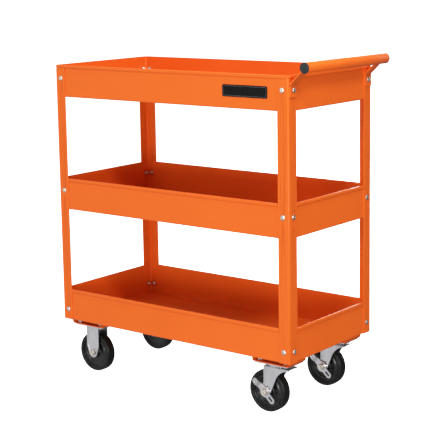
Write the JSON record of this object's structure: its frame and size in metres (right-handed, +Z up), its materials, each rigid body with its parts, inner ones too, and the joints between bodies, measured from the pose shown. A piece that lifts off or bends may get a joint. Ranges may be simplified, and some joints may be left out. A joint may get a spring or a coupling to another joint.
{
  "type": "tool cart",
  "caption": "Open steel service cart: stacked trays with hemmed rims on angle corner posts, tubular push handle, rigid and braked swivel casters.",
  "frame": {"origin": "on the ground, under the centre of the cart's overall box", "axes": "+Z up, +X along the length towards the push handle, -Y towards the front side with the name plate"},
  "size_m": [0.7557, 0.345, 0.8104],
  "materials": {
    "orange_paint": "semi-gloss orange powder coat",
    "black_plastic": "moulded black plastic",
    "black_plate": "satin black plate with a thin pale border, blank",
    "zinc_steel": "bright zinc plated steel",
    "bright_steel": "polished bearing steel",
    "black_polymer": "moulded black wheel centre",
    "black_rubber": "hard black rubber"
  },
  "bodies": {
    "cart": {"tray_top": "orange_paint", "tray_middle": "orange_paint", "tray_bottom": "orange_paint", "post_front_left": "orange_paint", "post_front_right": "orange_paint", "post_rear_left": "orange_paint", "post_rear_right": "orange_paint", "handle_tube": "orange_paint", "handle_bracket_front": "orange_paint", "handle_cap_front": "black_plastic", "handle_bracket_rear": "orange_paint", "handle_cap_rear": "black_plastic", "name_plate": "black_plate", "post_bolts": "zinc_steel", "post_nuts": "zinc_steel", "caster_channel_front_left": "orange_paint", "caster_channel_front_right": "orange_paint", "caster_channel_rear_left": "orange_paint", "caster_channel_rear_right": "orange_paint", "caster_bolts": "zinc_steel", "caster_nuts": "zinc_steel", "rigid_fork_front_left": "zinc_steel", "axle_bolt_front_left": "zinc_steel", "axle_nut_front_left": "zinc_steel", "axle_sleeve_front_left": "zinc_steel", "swivel_plate_front_right": "zinc_steel", "kingpin_front_right": "zinc_steel", "bearing_balls_front_right": "bright_steel", "rigid_fork_rear_left": "zinc_steel", "axle_bolt_rear_left": "zinc_steel", "axle_nut_rear_left": "zinc_steel", "axle_sleeve_rear_left": "zinc_steel", "swivel_plate_rear_right": "zinc_steel", "kingpin_rear_right": "zinc_steel", "bearing_balls_rear_right": "bright_steel"},
    "wheel_front_left": {"wheel_core_front_left": "black_polymer", "tyre_front_left": "black_rubber"},
    "swivel_front_right": {"swivel_fork_front_right": "zinc_steel", "axle_bolt_front_right": "zinc_steel", "axle_nut_front_right": "zinc_steel", "axle_sleeve_front_right": "zinc_steel", "brake_cam_front_right": "zinc_steel"},
    "brake_front_right": {"brake_lever_front_right": "zinc_steel"},
    "wheel_front_right": {"wheel_core_front_right": "black_polymer", "tyre_front_right": "black_rubber"},
    "wheel_rear_left": {"wheel_core_rear_left": "black_polymer", "tyre_rear_left": "black_rubber"},
    "swivel_rear_right": {"swivel_fork_rear_right": "zinc_steel", "axle_bolt_rear_right": "zinc_steel", "axle_nut_rear_right": "zinc_steel", "axle_sleeve_rear_right": "zinc_steel", "brake_cam_rear_right": "zinc_steel"},
    "brake_rear_right": {"brake_lever_rear_right": "zinc_steel"},
    "wheel_rear_right": {"wheel_core_rear_right": "black_polymer", "tyre_rear_right": "black_rubber"}
  },
  "joints": [
    {"name": "front_left_wheel_roll", "type": "hinge", "parent": "cart", "child": "wheel_front_left", "pos_m": [-0.3098, -0.1175, 0.05], "axis": [0, 1, 0], "continuous": true},
    {"name": "front_right_caster_swivel", "type": "hinge", "parent": "cart", "child": "swivel_front_right", "pos_m": [0.2587, -0.1175, 0.113], "axis": [0, 0, 1], "continuous": true},
    {"name": "front_right_wheel_roll", "type": "hinge", "parent": "swivel_front_right", "child": "wheel_front_right", "pos_m": [0.2322, -0.1175, 0.05], "axis": [0, 1, 0], "continuous": true},
    {"name": "front_right_brake_lever", "type": "hinge", "parent": "swivel_front_right", "child": "brake_front_right", "pos_m": [0.2322, -0.13665, 0.05], "axis": [0, -1, 0], "range_deg": [0, 28]},
    {"name": "rear_left_wheel_roll", "type": "hinge", "parent": "cart", "child": "wheel_rear_left", "pos_m": [-0.3098, 0.1175, 0.05], "axis": [0, 1, 0], "continuous": true},
    {"name": "rear_right_caster_swivel", "type": "hinge", "parent": "cart", "child": "swivel_rear_right", "pos_m": [0.2587, 0.1175, 0.113], "axis": [0, 0, 1], "continuous": true},
    {"name": "rear_right_wheel_roll", "type": "hinge", "parent": "swivel_rear_right", "child": "wheel_rear_right", "pos_m": [0.2322, 0.1175, 0.05], "axis": [0, 1, 0], "continuous": true},
    {"name": "rear_right_brake_lever", "type": "hinge", "parent": "swivel_rear_right", "child": "brake_rear_right", "pos_m": [0.2322, 0.09835, 0.05], "axis": [0, -1, 0], "range_deg": [0, 28]}
  ]
}
